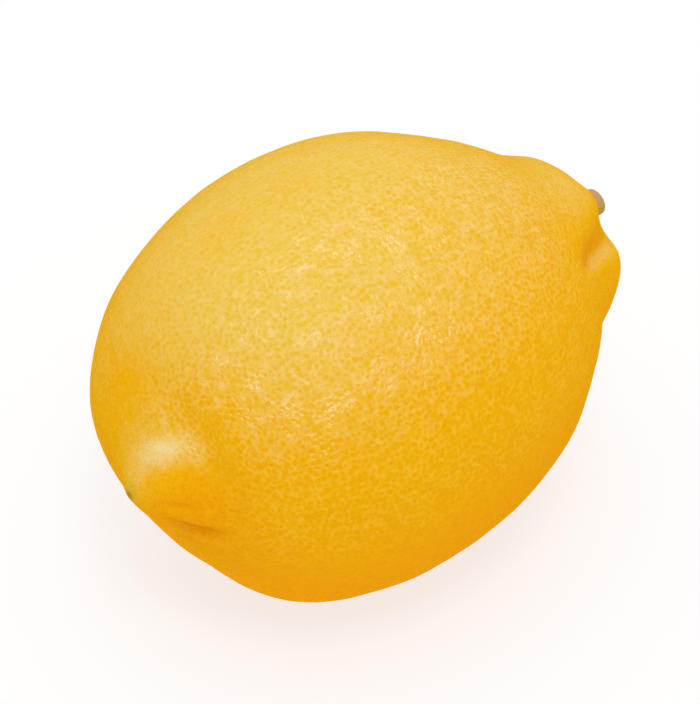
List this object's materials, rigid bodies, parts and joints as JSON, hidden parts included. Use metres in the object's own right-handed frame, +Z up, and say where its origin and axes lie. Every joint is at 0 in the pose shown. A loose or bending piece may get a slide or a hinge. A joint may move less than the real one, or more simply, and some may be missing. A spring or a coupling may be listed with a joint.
{
  "type": "lemon",
  "caption": "Whole ripe lemon lying on its side, with a blunt nipple, a lobed neck, its dried calyx and a short cut stalk.",
  "frame": {"origin": "middle of the bounding box's underside, in the plane of the flat spot that the fruit rests on", "axes": "+X along the fruit from the nipple to the stem end, +Z up, -Y the side with the furrow in the neck"},
  "size_m": [0.0912, 0.064, 0.0636],
  "materials": {
    "peel": "waxy, satin, closely pitted",
    "calyx": "dry, matte",
    "stalk": "dry bark, matte"
  },
  "bodies": {
    "root": {"fruit": "peel", "calyx": "calyx", "stalk_stub": "stalk"}
  },
  "joints": []
}
